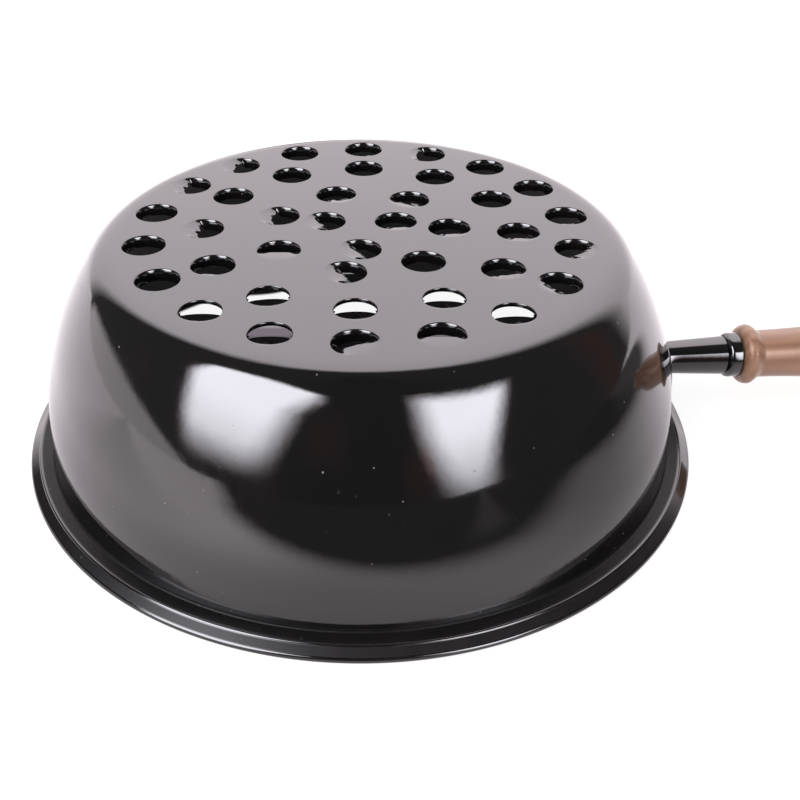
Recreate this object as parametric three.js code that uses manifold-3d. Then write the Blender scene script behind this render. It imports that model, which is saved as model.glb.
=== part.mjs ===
// A charcoal starter pan: a black enamelled steel bowl with a perforated base and a wooden side grip.
// It stands upside down on its rim, base up. Millimetres, +Z up, +X along the handle.
// The origin is the centre of the base's outer face, so the rim's lowest line is at z = -panHeight.

import * as THREE from 'three';
import { mergeGeometries, mergeVertices, toCreasedNormals } from 'three/addons/utils/BufferGeometryUtils.js';
import Module from 'manifold-3d';

const wasm = await Module();
wasm.setup();

// Bowl, pressed from one sheet
const rimDiameter = 200;
const panHeight = 65;
const sheet = 1.2;            // steel with its enamel on both sides
const beadDiameter = 4;       // the rolled edge
const flangeRise = 3;         // upper face of the flat flange above the rim's lowest line
const flangeReach = 7.8;      // from the wall's widest line out to the edge of the rim
const wallFlare = 26.5;       // from the edge of the flat base out to the wall's widest line
const wallArcRadius = 80;     // the wall's gentle curve, seen in section
const cornerRadius = 12;      // bend between base and wall
const neckRadius = 2;         // bend between wall and flange
const beadRiseRadius = 1.5;   // bend between flange and rolled edge
const curlEnd = -130;         // degrees, where the rolled edge stops inside its own curl

// Perforated base: rings of punched holes whose edges are drawn inwards
const holeDiameter = 11;
const holeMouthRadius = 0.5;  // rounded entry of each hole
const lipDepth = 3.2;         // how far a hole's edge reaches below the base's outer face
const holeWeb = 2;            // least flat between two mouths of one ring
const holeRings = [           // inset from the edge of the flat base, holes, turn of the first in degrees
  { inset: 6.3, count: 18, turn: 4.5 },
  { inset: 21.8, count: 12, turn: -6 },
  { inset: 40.7, count: 7, turn: -1 },
  { inset: 54.1, count: 3, turn: 25 },
];

// Handle, on the line that runs out from the pan's axis
const handleHeight = 18.5;    // its axis above the rim's lowest line
const seatGap = 0.3;          // between neighbouring pieces
const saddleWidth = 36;
const saddleHeight = 22;
const saddleThickness = 1.5;
const saddleCorner = 8;
const stemLength = 18.4;      // along its axis, from the saddle's face to the ferrule
const stemRootDiameter = 9.8;
const stemMouthDiameter = 11.9;
const stemWall = 1.2;
const plugLength = 9;
const rodDiameter = 4;
const ferruleDiameter = 13.7;
const ferruleLength = 4.4;
const ferruleWall = 1.1;
const ferruleRound = 1.6;

// Turned wooden grip: crests and hollows of its outline, measured from its shoulder
const gripLength = 120;
const gripShoulderRound = 2.4;
const beadCrest = { at: 2.6, diameter: 18.4 };
const neckHollow = { at: 6.4, diameter: 14.6 };
const palmCrest = { at: 56, diameter: 20 };
const tailHollow = { at: 97, diameter: 16.4 };
const knobCrest = { at: 112, diameter: 19 };
const endFaceDiameter = 12;

// Hanging eye and its washer at the far end
const washerDiameter = 11;
const washerThickness = 1.4;
const washerDish = 0.8;
const eyeBore = 8;
const eyeGap = 35;            // degrees of the eye left open beside the shank

// Facets
const rimSides = 60;
const holeSides = 14;
const turnedSides = 24;
const rodSides = 12;

const rimZ = -panHeight;
const rimRadius = rimDiameter / 2;
const wallRadius = rimRadius - flangeReach;
const baseRadius = wallRadius - wallFlare;
const handleZ = rimZ + handleHeight;

const radians = THREE.MathUtils.degToRad;

// Points on an arc in the plane of a profile, each [distance from the axis, height].
function arc([centreR, centreZ], radius, fromDegrees, toDegrees, steps) {
  return Array.from({ length: steps + 1 }, (_, i) => {
    const angle = radians(THREE.MathUtils.lerp(fromDegrees, toDegrees, i / steps));
    return [centreR + radius * Math.cos(angle), centreZ + radius * Math.sin(angle)];
  });
}

// A body turned about Z. Its profile runs upwards on the outside.
function turned(profile, sides) {
  const points = profile.map(([r, z]) => new THREE.Vector2(r, z));
  return new THREE.LatheGeometry(points, sides).rotateX(Math.PI / 2);
}

// The same, turned about the handle's axis. Its profile is [radius, distance from the pan's axis].
function turnedOnHandle(profile, sides) {
  return turned(profile, sides).rotateY(Math.PI / 2);
}

function toSolid(geometry) {
  const bare = geometry.clone();
  bare.deleteAttribute('normal');
  bare.deleteAttribute('uv');
  const welded = mergeVertices(bare);
  const corners = welded.index.array;
  const faces = [];
  for (let i = 0; i < corners.length; i += 3) {
    const [a, b, c] = corners.subarray(i, i + 3);
    if (a !== b && b !== c && c !== a) faces.push(a, b, c);
  }
  return new wasm.Manifold(new wasm.Mesh({
    numProp: 3,
    vertProperties: new Float32Array(welded.attributes.position.array),
    triVerts: new Uint32Array(faces),
  }));
}

function toGeometry(solid) {
  const mesh = solid.getMesh();
  const geometry = new THREE.BufferGeometry();
  geometry.setAttribute('position', new THREE.BufferAttribute(new Float32Array(mesh.vertProperties), 3));
  geometry.setIndex(new THREE.BufferAttribute(new Uint32Array(mesh.triVerts), 1));
  return geometry;
}

// ---- Bowl ----

const baseCorner = [baseRadius, -cornerRadius];
const wallCentreR = wallRadius - wallArcRadius;
// The corner arc touches the wall arc from inside, which fixes the height of the wall arc's centre.
const wallCentreZ = -cornerRadius
  - Math.sqrt((wallArcRadius - cornerRadius) ** 2 - (baseRadius - wallCentreR) ** 2);
const wallCentre = [wallCentreR, wallCentreZ];
const wallTopAngle = THREE.MathUtils.radToDeg(
  Math.atan2(-cornerRadius - wallCentreZ, baseRadius - wallCentreR));

// Outer radius of the wall at a height, moved out by a distance square to the wall.
function wallRadiusAt(z, outwards = 0) {
  return wallCentreR + Math.sqrt((wallArcRadius + outwards) ** 2 - (z - wallCentreZ) ** 2);
}

const flangeZ = rimZ + flangeRise;
const neckZ = flangeZ + neckRadius;
const neck = [wallRadiusAt(neckZ, neckRadius), neckZ];
const wallFootAngle = THREE.MathUtils.radToDeg(Math.atan2(neckZ - wallCentreZ, neck[0] - wallCentreR));

const beadRadius = beadDiameter / 2;
const bead = [rimRadius - beadRadius, rimZ + beadRadius];
const riseZ = flangeZ + beadRiseRadius;
const riseRun = Math.sqrt((beadRadius + beadRiseRadius) ** 2 - (riseZ - bead[1]) ** 2);
const rise = [bead[0] - riseRun, riseZ];
const curlStart = THREE.MathUtils.radToDeg(Math.atan2(riseZ - bead[1], -riseRun));

// One side of the sheet, from the edge of the flat base down to the end of the curl. The depth is 0
// on the outside and the sheet's thickness on the inside: bends keep their centres and change radius.
function sheetSide(depth, steps) {
  return [
    ...arc(baseCorner, cornerRadius - depth, 90, wallTopAngle, steps.corner),
    ...arc(wallCentre, wallArcRadius - depth, wallTopAngle, wallFootAngle, steps.wall).slice(1),
    ...arc(neck, neckRadius + depth, wallFootAngle + 180, 270, steps.neck).slice(1),
    ...arc(rise, beadRiseRadius + depth, 270, curlStart + 180, steps.rise),
    ...arc(bead, beadRadius - depth, curlStart, curlEnd, steps.bead).slice(1),
  ];
}

function bowlShell() {
  const outside = sheetSide(0, { corner: 3, wall: 6, neck: 2, rise: 1, bead: 7 });
  const inside = sheetSide(sheet, { corner: 2, wall: 4, neck: 2, rise: 1, bead: 4 });
  return turned([[0, -sheet], ...inside, ...outside.reverse(), [0, 0]], rimSides);
}

// Where the holes are. A ring keeps only as many holes as its length has room for.
function holePlaces() {
  const mouth = holeDiameter + 2 * holeMouthRadius;
  return holeRings.flatMap(({ inset, count, turn }) => {
    const radius = baseRadius - inset;
    const room = Math.floor(2 * Math.PI * radius / (mouth + holeWeb));
    const holes = Math.max(0, Math.min(count, room));
    return Array.from({ length: holes }, (_, i) => {
      const angle = radians(turn) + 2 * Math.PI * i / holes;
      return [radius * Math.cos(angle), radius * Math.sin(angle)];
    });
  });
}

function repeated(geometry, places) {
  return mergeGeometries(places.map(([x, y]) => geometry.clone().translate(x, y, 0)));
}

// The drawn collar under a hole, starting inside the sheet.
function lipCollar() {
  const radius = holeDiameter / 2 + sheet;
  const top = -sheet / 2;
  return turned([[0, -lipDepth], [radius, -lipDepth], [radius, top], [0, top]], holeSides);
}

// The space of a hole: a straight bore with a trumpet mouth, open above and below the sheet.
function holeCutter() {
  const radius = holeDiameter / 2;
  const mouthRadius = radius + holeMouthRadius;
  const below = -lipDepth - sheet;
  const mouth = arc([mouthRadius, -holeMouthRadius], holeMouthRadius, 180, 90, 2);
  return turned([[0, below], [radius, below], ...mouth, [mouthRadius, sheet], [0, sheet]], holeSides);
}

function panGeometry() {
  const places = holePlaces();
  const withCollars = toSolid(bowlShell()).add(toSolid(repeated(lipCollar(), places)));
  return toGeometry(withCollars.subtract(toSolid(repeated(holeCutter(), places))));
}

// ---- Handle: its pieces lie in a group whose origin is on the pan's axis, level with the handle's ----

// Everything within a distance of the wall's outer face, as far up and down as the saddle reaches.
function wallBody(outwards) {
  const low = handleZ - saddleHeight;
  const high = handleZ + saddleHeight;
  const steps = 10;
  const face = Array.from({ length: steps + 1 }, (_, i) => {
    const z = THREE.MathUtils.lerp(low, high, i / steps);
    return [wallRadiusAt(z, outwards), z];
  });
  return toSolid(turned([[0, low], ...face, [0, high]], rimSides).translate(0, 0, -handleZ));
}

// A rounded rectangle across the handle, pushed out along it from the pan's axis.
function saddleOutline() {
  const halfWidth = saddleWidth / 2 - saddleCorner;
  const halfHeight = saddleHeight / 2 - saddleCorner;
  const outline = new THREE.Shape();
  outline.absarc(halfWidth, halfHeight, saddleCorner, 0, Math.PI / 2);
  outline.absarc(-halfWidth, halfHeight, saddleCorner, Math.PI / 2, Math.PI);
  outline.absarc(-halfWidth, -halfHeight, saddleCorner, Math.PI, 1.5 * Math.PI);
  outline.absarc(halfWidth, -halfHeight, saddleCorner, 1.5 * Math.PI, 2 * Math.PI);
  const options = { depth: rimRadius, bevelEnabled: false, curveSegments: 4 };
  return new THREE.ExtrudeGeometry(outline, options).rotateX(Math.PI / 2).rotateZ(Math.PI / 2);
}

const saddleFace = seatGap + saddleThickness;

function saddleGeometry() {
  const plate = wallBody(saddleFace).subtract(wallBody(seatGap));
  return toGeometry(plate.intersect(toSolid(saddleOutline())));
}

const stemRootX = wallRadiusAt(handleZ, saddleFace);
const mouthX = stemRootX + seatGap + stemLength;

// The stem is a cone. It is drawn from inside the wall and cut to the saddle's face.
function stemRadiusAt(x) {
  const along = (x - stemRootX) / (mouthX - stemRootX);
  return THREE.MathUtils.lerp(stemRootDiameter, stemMouthDiameter, along) / 2;
}

function stemGeometry() {
  const startX = stemRootX - stemRootDiameter;
  const outerStart = stemRadiusAt(startX);
  const outerEnd = stemRadiusAt(mouthX);
  const tube = turnedOnHandle([
    [outerStart - stemWall, startX], [outerStart, startX],
    [outerEnd, mouthX], [outerEnd - stemWall, mouthX],
    [outerStart - stemWall, startX],
  ], turnedSides);
  return toGeometry(toSolid(tube).subtract(wallBody(saddleFace + seatGap)));
}

const boreRadius = rodDiameter / 2 + seatGap;

function plugGeometry() {
  const startX = mouthX - plugLength;
  const inset = stemWall + seatGap;
  return turnedOnHandle([
    [boreRadius, startX], [stemRadiusAt(startX) - inset, startX],
    [stemRadiusAt(mouthX) - inset, mouthX], [boreRadius, mouthX],
    [boreRadius, startX],
  ], turnedSides);
}

const ferruleX = mouthX + seatGap;
const ferruleRimX = ferruleX + ferruleLength;
const socketX = ferruleX + ferruleWall;
const socketRadius = ferruleDiameter / 2 - ferruleWall;

// A drawn cup with a rounded floor: the stem butts against the floor, and the grip's spigot fills it.
function ferruleGeometry() {
  const radius = ferruleDiameter / 2;
  const shoulder = arc([radius - ferruleRound, ferruleX + ferruleRound], ferruleRound, -90, 0, 4);
  return turnedOnHandle([
    [boreRadius, ferruleX], ...shoulder, [radius, ferruleRimX],
    [socketRadius, ferruleRimX], [socketRadius, socketX],
    [boreRadius, socketX], [boreRadius, ferruleX],
  ], turnedSides);
}

const shoulderX = ferruleRimX + seatGap;
const gripEndX = shoulderX + gripLength;

// Outline between two turning marks: half a cosine wave, so crests and hollows meet smoothly.
function turnedSpan(from, to, steps) {
  return Array.from({ length: steps }, (_, i) => {
    const along = (i + 1) / steps;
    const ease = (1 - Math.cos(Math.PI * along)) / 2;
    return [
      THREE.MathUtils.lerp(from.diameter, to.diameter, ease) / 2,
      shoulderX + THREE.MathUtils.lerp(from.at, to.at, along),
    ];
  });
}

function gripGeometry() {
  const spigotRadius = socketRadius - seatGap;
  const spigotX = socketX + seatGap;
  const crestRadius = beadCrest.diameter / 2;
  const shoulder = Array.from({ length: 4 }, (_, i) => {
    const angle = i / 4 * Math.PI / 2;
    return [
      crestRadius - gripShoulderRound * (1 - Math.sin(angle)),
      shoulderX + beadCrest.at * (1 - Math.cos(angle)),
    ];
  });
  const knobRadius = knobCrest.diameter / 2;
  const endFaceRadius = endFaceDiameter / 2;
  const knobLength = gripLength - knobCrest.at;
  const end = Array.from({ length: 5 }, (_, i) => {
    const angle = (i + 1) / 5 * Math.PI / 2;
    return [
      endFaceRadius + (knobRadius - endFaceRadius) * Math.cos(angle),
      shoulderX + knobCrest.at + knobLength * Math.sin(angle),
    ];
  });
  return turnedOnHandle([
    [boreRadius, spigotX], [spigotRadius, spigotX], [spigotRadius, shoulderX],
    ...shoulder, [crestRadius, shoulderX + beadCrest.at],
    ...turnedSpan(beadCrest, neckHollow, 4),
    ...turnedSpan(neckHollow, palmCrest, 6),
    ...turnedSpan(palmCrest, tailHollow, 5),
    ...turnedSpan(tailHollow, knobCrest, 4),
    ...end, [boreRadius, gripEndX], [boreRadius, spigotX],
  ], turnedSides);
}

const washerX = gripEndX + seatGap;
const washerEndX = washerX + washerThickness + washerDish;

// A dished washer: flat on the wood at its edge, raised round the rod.
function washerGeometry() {
  const edge = washerDiameter / 2;
  const dishRadius = (edge + boreRadius) / 2;
  const innerX = washerX + washerDish;
  return turnedOnHandle([
    [boreRadius, innerX], [dishRadius, innerX], [dishRadius + washerDish, washerX], [edge, washerX],
    [edge, washerX + washerThickness], [dishRadius + washerDish, washerX + washerThickness],
    [dishRadius, washerEndX], [boreRadius, washerEndX], [boreRadius, innerX],
  ], turnedSides);
}

// The eye is a rod bent round in the level plane, so that the pan hangs flat against a wall.
class EyeCurve extends THREE.Curve {
  constructor(centre, radius) {
    super();
    this.centre = centre;
    this.radius = radius;
  }

  getPoint(t, target = new THREE.Vector3()) {
    const angle = Math.PI + t * radians(360 - eyeGap);
    target.set(Math.cos(angle), Math.sin(angle), 0);
    return target.multiplyScalar(this.radius).add(this.centre);
  }
}

function eyeRodGeometry() {
  const rodRadius = rodDiameter / 2;
  const bendRadius = eyeBore / 2 + rodRadius;
  const startX = mouthX - plugLength + seatGap;
  const eyeX = washerEndX + seatGap + rodRadius + bendRadius;
  const shankEndX = eyeX - bendRadius;
  const rod = turnedOnHandle([
    [0, startX], [rodRadius, startX], [rodRadius, shankEndX], [0, shankEndX],
  ], rodSides);
  const section = new THREE.Shape().absarc(0, 0, rodRadius, 0, 2 * Math.PI);
  const eye = new THREE.ExtrudeGeometry(section, {
    steps: 24,
    curveSegments: rodSides / 2,
    extrudePath: new EyeCurve(new THREE.Vector3(eyeX, 0, 0), bendRadius),
  });
  return toGeometry(toSolid(rod).add(toSolid(eye)));
}

// ---- Finishes and assembly ----

const finishes = {
  enamel: { color: 0x101012, roughness: 0.12, metalness: 0 },
  steel: { color: 0xb9bbbe, roughness: 0.3, metalness: 1 },
  wood: { color: 0xc2905f, roughness: 0.5, metalness: 0 },
};

const creaseAngle = radians(25);

function part(name, geometry, finish) {
  const mesh = new THREE.Mesh(
    toCreasedNormals(geometry, creaseAngle), new THREE.MeshStandardMaterial(finishes[finish]));
  mesh.name = name;
  return mesh;
}

const handle = new THREE.Group();
handle.position.z = handleZ;
handle.add(
  part('handle_saddle', saddleGeometry(), 'enamel'),
  part('handle_stem', stemGeometry(), 'enamel'),
  part('stem_plug', plugGeometry(), 'steel'),
  part('grip_ferrule', ferruleGeometry(), 'enamel'),
  part('wooden_grip', gripGeometry(), 'wood'),
  part('end_washer', washerGeometry(), 'steel'),
  part('eye_rod', eyeRodGeometry(), 'steel'),
);

const starterPan = new THREE.Group();
starterPan.add(part('pan', panGeometry(), 'enamel'), handle);

export default starterPan;
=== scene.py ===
# Looks of the charcoal starter pan: it stands upside down on its rim, base up, handle along +X.
import math

import bmesh
import bpy
import numpy as np
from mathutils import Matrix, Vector
from mathutils.geometry import delaunay_2d_cdt


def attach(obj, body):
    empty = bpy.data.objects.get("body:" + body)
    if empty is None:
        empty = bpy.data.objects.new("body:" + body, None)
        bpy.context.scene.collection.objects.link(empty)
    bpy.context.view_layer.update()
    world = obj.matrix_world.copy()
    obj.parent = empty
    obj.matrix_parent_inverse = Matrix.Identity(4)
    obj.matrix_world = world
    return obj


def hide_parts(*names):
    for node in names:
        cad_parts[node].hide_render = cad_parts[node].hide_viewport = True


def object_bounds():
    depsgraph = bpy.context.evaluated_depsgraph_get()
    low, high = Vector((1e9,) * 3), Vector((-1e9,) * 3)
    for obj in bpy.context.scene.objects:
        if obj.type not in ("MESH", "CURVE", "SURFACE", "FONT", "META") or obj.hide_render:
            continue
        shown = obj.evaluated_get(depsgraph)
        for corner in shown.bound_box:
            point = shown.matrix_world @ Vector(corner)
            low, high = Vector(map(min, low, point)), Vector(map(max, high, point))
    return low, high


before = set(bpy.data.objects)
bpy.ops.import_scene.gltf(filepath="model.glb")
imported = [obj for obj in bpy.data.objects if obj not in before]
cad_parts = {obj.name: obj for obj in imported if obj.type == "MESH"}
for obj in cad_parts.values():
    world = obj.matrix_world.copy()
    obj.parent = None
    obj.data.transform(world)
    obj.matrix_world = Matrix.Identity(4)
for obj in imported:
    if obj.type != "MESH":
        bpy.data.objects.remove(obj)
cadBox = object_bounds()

print("starter pan: frame loaded")

mm = 0.001
scene = bpy.context.scene

viewPoint = {
    "place": (-0.02115, -0.26872, 0.12928),
    "aim": (0.0, 0.0, -0.06663),
    "lens": 47.6,
    "shift": (0.0499, 0.030),
}


def placeCamera():
    lensData = bpy.data.cameras.new("studioCamera")
    lensData.lens = viewPoint["lens"]
    lensData.sensor_width = 36.0
    lensData.sensor_fit = "HORIZONTAL"
    lensData.shift_x, lensData.shift_y = viewPoint["shift"]
    lensData.clip_start = 0.01
    camera = bpy.data.objects.new("studioCamera", lensData)
    scene.collection.objects.link(camera)
    camera.location = viewPoint["place"]
    aim = Vector(viewPoint["aim"]) - camera.location
    camera.rotation_euler = aim.to_track_quat("-Z", "Y").to_euler()
    scene.camera = camera


placeCamera()
scene.view_settings.view_transform = "Standard"
print("starter pan: camera placed")


def addNode(tree, kind, settings=None, **sockets):
    node = tree.nodes.new(kind)
    for key, value in (settings or {}).items():
        setattr(node, key, value)
    for key, value in sockets.items():
        feed(tree, node.inputs[key.replace("_", " ")], value)
    return node


# A socket takes either another node's output or a plain value.
def feed(tree, socket, value):
    if isinstance(value, bpy.types.NodeSocket):
        tree.links.new(value, socket)
    else:
        socket.default_value = value


def calc(tree, operation, first, second=0.0, third=0.0):
    node = tree.nodes.new("ShaderNodeMath")
    node.operation = operation
    for socket, value in zip(node.inputs, (first, second, third)):
        feed(tree, socket, value)
    return node.outputs[0]


# toLow below low, toHigh above high, a smooth ramp between.
def ramp(tree, value, low, high, toLow=0.0, toHigh=1.0):
    node = addNode(tree, "ShaderNodeMapRange", {"interpolation_type": "SMOOTHSTEP"})
    for socket, given in zip(node.inputs[:5], (value, low, high, toLow, toHigh)):
        feed(tree, socket, given)
    return node.outputs["Result"]


def product(tree, *values):
    result = values[0]
    for value in values[1:]:
        result = calc(tree, "MULTIPLY", result, value)
    return result


def total(tree, *values):
    result = values[0]
    for value in values[1:]:
        result = calc(tree, "ADD", result, value)
    return result


# A value that grows evenly with another: base + slope * along.
def line(tree, base, slope, along):
    return calc(tree, "MULTIPLY_ADD", along, slope, base)


# base + bend * (along - middle) squared.
def curve(tree, base, bend, middle, along):
    off = calc(tree, "SUBTRACT", along, middle)
    return calc(tree, "MULTIPLY_ADD", product(tree, off, off), bend, base)


# 1 where value is over edge, 0 under it, soft on both sides.
def above(tree, value, edge, soft):
    return ramp(tree, calc(tree, "SUBTRACT", value, edge), -soft, soft)


# 1 at the middle, 0 from the half width outwards.
def hump(tree, value, middle, halfWidth):
    off = calc(tree, "ABSOLUTE", calc(tree, "SUBTRACT", value, middle))
    return ramp(tree, off, 0.2 * halfWidth, halfWidth, 1.0, 0.0)


def blend(tree, factor, first, second):
    return calc(tree, "MULTIPLY_ADD", calc(tree, "SUBTRACT", second, first), factor, first)


def mixColour(tree, factor, first, second):
    node = addNode(tree, "ShaderNodeMix", {"data_type": "RGBA"})
    feed(tree, node.inputs["Factor"], factor)
    feed(tree, node.inputs[6], first)
    feed(tree, node.inputs[7], second)
    return node.outputs[2]


def mixShader(tree, factor, first, second):
    node = addNode(tree, "ShaderNodeMixShader")
    feed(tree, node.inputs[0], factor)
    feed(tree, node.inputs[1], first.outputs[0])
    feed(tree, node.inputs[2], second.outputs[0])
    return node


def noise(tree, place, scale, detail, roughness):
    node = addNode(
        tree, "ShaderNodeTexNoise", None, Vector=place, Scale=scale, Detail=detail, Roughness=roughness)
    return node.outputs["Fac"]


def grey(level):
    return (level, level, level, 1)


def inMillimetres(tree, place):
    axes = addNode(tree, "ShaderNodeSeparateXYZ", Vector=place)
    return [product(tree, axes.outputs[name], 1 / mm) for name in "XYZ"]


# Distance from the pan's axis: the root of x squared plus y squared.
def fromAxis(tree, x, y):
    return calc(tree, "SQRT", calc(tree, "ADD", product(tree, x, x), product(tree, y, y)))


studio = {
    "floorSize": 6.0,
    "cutoutWhite": 0.80,       # floor's own share of white towards the camera
    "cutoutShade": 0.42,       # and the share that is lit, so it shows the shadow
    # under the pan the floor's lit share is near black: painted shade
    "underShade": 0.005,       # that share under the pan
    "bounce": 0.82,            # how much light the floor gives back to the pan
    "sheetTint": (1.06, 0.985, 1.03, 1),
    "windowTint": (1.0, 0.985, 1.06, 1),
    "warmTint": (1.0, 0.42, 0.36, 1),
    "darkGloss": 0.075,        # the unlit floor, as the enamel reflects it
    "windowGloss": 11.0,
    "fillLevel": 0.62,
    "keyPower": 9.0,
    "keySize": 0.9,
    "keyPlace": (-0.75, -0.55, 1.05),
}

# The floor as the enamel reflects it, in millimetres from the pan's axis, with y away from the camera.
# A ramp is given as (from, to), going from 0 to 1, or as (from, to, level at from, level at to).
floorLook = {
    "edgeMiddle": -135.0,      # y of the white sheet's front edge, ahead of the pan
    "leftEdge": (-300.0, 0.25, -0.0012, 0.80),   # x where its left bend ends; slope, bend, slope beyond
    "rightEdge": (80.0, 0.2, -0.22),             # x where its right part turns; slope, slope beyond
    "edgeSoftness": (15.0, 0.11),                # the edge's half width, and its growth sideways
    "leftMiddle": -50.0,
    "leftLevel": (10.0, 100.0, 1.38, 1.88),
    "rightLevel": (-90.0, 90.0, 0.62, 1.77),
    "frontLevel": 1.15,
    "leftToFront": (-110.0, -10.0),
    "frontToRight": (30.0, 120.0),
    "fadeBack": -20.0,
    "fadeLine": (280.0, 0.006, 0.0),
    "fade": (-105.0, 75.0, 1.0, 0.1),
    # darker near the pan: a painted shadow in the floor's glow
    "nearPanShadow": (90.0, 150.0, 0.66, 1.0),
    "behind": (60.0, 90.0),
    "behindWide": (60.0, 110.0, 1.0, 0.0),
    "behindLevel": 0.35,
    "streakLine": (-29.0, -0.7),
    "streak": (4.0, 34.0, 0.14, 0.0),
    "streakEnd": (-190.0, -130.0, 1.0, 0.0),
    # under the pan the floor is painted dark to gloss, painted shade; the slant is also used for what the
    # camera sees through the holes
    "insideSlant": 0.08,
    "underPanShade": (50.0, 60.0, 0.01, 0.12),
    "insideEdge": (90.0, 96.0),
    # what the camera sees through the holes: the floor under the pan painted with shade at the front, dim
    # light in a band, a white glow at the back and shade under the brim
    "frontShade": (0.006, 0.005, 0.006, 1),
    "bandDimLight": (0.20, 0.17, 0.20, 1),
    "backGlow": (0.93, 0.93, 0.93, 1),
    "brimShade": (0.006, 0.006, 0.006, 1),
    "band": (46.0, 52.0),
    "back": (55.0, 62.0),
    "brim": (86.5, 88.5),
    "brimShadeReach": (25.0, 50.0, 0.0, 6.5),         # how far further in the brim's dark reaches, over x
    "underPan": (96.5, 98.5),
}


# How bright the floor is to gloss, in millimetres round the pan: a white sheet, brighter beside the pan
# than in front of it, fading to the right, with a curved front edge and a dark floor before that; darker near
# the pan, a painted shadow, and near black under the pan, painted shade.
def floorGloss(tree, x, y, radius):
    look = floorLook
    leftEnd, leftSlope, leftBend, farLeftSlope = look["leftEdge"]
    rightEnd, rightSlope, farRightSlope = look["rightEdge"]
    leftwards = calc(tree, "MAXIMUM", calc(tree, "MINIMUM", x, 0.0), leftEnd)
    farLeft = calc(tree, "MINIMUM", calc(tree, "SUBTRACT", x, leftEnd), 0.0)
    rightwards = calc(tree, "MINIMUM", calc(tree, "MAXIMUM", x, 0.0), rightEnd)
    farRight = calc(tree, "MAXIMUM", calc(tree, "SUBTRACT", x, rightEnd), 0.0)
    edge = total(
        tree, line(tree, look["edgeMiddle"], leftSlope, leftwards),
        product(tree, leftwards, leftwards, leftBend), product(tree, rightwards, rightSlope),
        product(tree, farRight, farRightSlope), product(tree, farLeft, farLeftSlope))
    width = line(tree, *look["edgeSoftness"], calc(tree, "ABSOLUTE", x))
    ahead = calc(tree, "DIVIDE", calc(tree, "SUBTRACT", y, edge), width)
    onSheet = ramp(tree, ahead, -1.0, 1.0)

    fromMiddle = calc(tree, "ABSOLUTE", calc(tree, "SUBTRACT", y, look["leftMiddle"]))
    left = ramp(tree, fromMiddle, *look["leftLevel"])
    right = ramp(tree, y, *look["rightLevel"])
    level = blend(tree, ramp(tree, x, *look["leftToFront"]), left, look["frontLevel"])
    level = blend(tree, ramp(tree, x, *look["frontToRight"]), level, right)
    back = calc(tree, "MAXIMUM", calc(tree, "SUBTRACT", y, look["fadeBack"]), 0.0)
    fade = calc(tree, "SUBTRACT", x, curve(tree, *look["fadeLine"], back))
    # the floor's glow is darker near the pan: a painted shadow
    level = product(tree, level, ramp(tree, fade, *look["fade"]), ramp(tree, radius, *look["nearPanShadow"]))
    aside = calc(tree, "ABSOLUTE", x)
    behind = product(tree, ramp(tree, y, *look["behind"]), ramp(tree, aside, *look["behindWide"]))
    level = blend(tree, behind, level, look["behindLevel"])
    fromStreak = calc(tree, "ABSOLUTE", calc(tree, "SUBTRACT", x, line(tree, *look["streakLine"], y)))
    streak = product(tree, ramp(tree, fromStreak, *look["streak"]), ramp(tree, y, *look["streakEnd"]))
    level = blend(tree, onSheet, calc(tree, "ADD", streak, studio["darkGloss"]), level)
    # under the pan the floor's glow is near black: painted shade
    inside = ramp(tree, line(tree, y, look["insideSlant"], x), *look["underPanShade"])
    return blend(tree, ramp(tree, radius, *look["insideEdge"]), inside, level)


# What the camera sees of the floor: pale, with the shadow; inside the pan it is painted light and shade:
# a painted white glow towards the back, dim grey-purple light in a narrow band, painted shade towards the
# front and under the brim.
def floorColour(tree, x, y, radius):
    look = floorLook
    slanted = line(tree, y, look["insideSlant"], x)
    # painted light and shade on the floor under the pan: shade in front, dim light in a band, a white glow at
    # the back, shade under the brim
    inside = mixColour(tree, ramp(tree, slanted, *look["band"]), look["frontShade"], look["bandDimLight"])
    inside = mixColour(tree, ramp(tree, slanted, *look["back"]), inside, look["backGlow"])
    reach = ramp(tree, calc(tree, "ABSOLUTE", x), *look["brimShadeReach"])
    inward = calc(tree, "SUBTRACT", radius, reach)
    inside = mixColour(tree, ramp(tree, inward, *look["brim"]), inside, look["brimShade"])
    underPan = ramp(tree, radius, *look["underPan"], 1.0, 0.0)
    return mixColour(tree, underPan, grey(studio["cutoutWhite"]), inside)


def makeFloor():
    size = studio["floorSize"]
    height = cadBox[0][2]
    corners = [(-size, -size, height), (size, -size, height), (size, size, height), (-size, size, height)]
    mesh = bpy.data.meshes.new("floor")
    mesh.from_pydata(corners, [], [(0, 1, 2, 3)])
    floor = bpy.data.objects.new("floor", mesh)
    scene.collection.objects.link(floor)
    material = bpy.data.materials.new("paleFloor")
    material.use_nodes = True
    tree = material.node_tree
    tree.nodes.clear()
    place = addNode(tree, "ShaderNodeTexCoord").outputs["Object"]
    x, y, z = inMillimetres(tree, place)
    radius = fromAxis(tree, x, y)
    toCamera = addNode(tree, "ShaderNodeEmission", Color=floorColour(tree, x, y, radius), Strength=1.0)
    # the floor under the pan is near black: painted shade
    shade = mixColour(
        tree, ramp(tree, radius, *floorLook["underPan"]),
        grey(studio["underShade"]), grey(studio["cutoutShade"]))
    lit = addNode(tree, "ShaderNodeBsdfDiffuse", Color=shade)
    shown = addNode(tree, "ShaderNodeAddShader")
    feed(tree, shown.inputs[0], toCamera.outputs[0])
    feed(tree, shown.inputs[1], lit.outputs[0])
    toGloss = addNode(
        tree, "ShaderNodeEmission", Color=studio["sheetTint"], Strength=floorGloss(tree, x, y, radius))
    bounce = addNode(tree, "ShaderNodeBsdfDiffuse", Color=grey(studio["bounce"]))
    path = addNode(tree, "ShaderNodeLightPath")
    unseen = mixShader(tree, path.outputs["Is Glossy Ray"], bounce, toGloss)
    seen = mixShader(tree, path.outputs["Is Camera Ray"], unseen, shown)
    addNode(tree, "ShaderNodeOutputMaterial", Surface=seen.outputs[0])
    mesh.materials.append(material)


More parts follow.
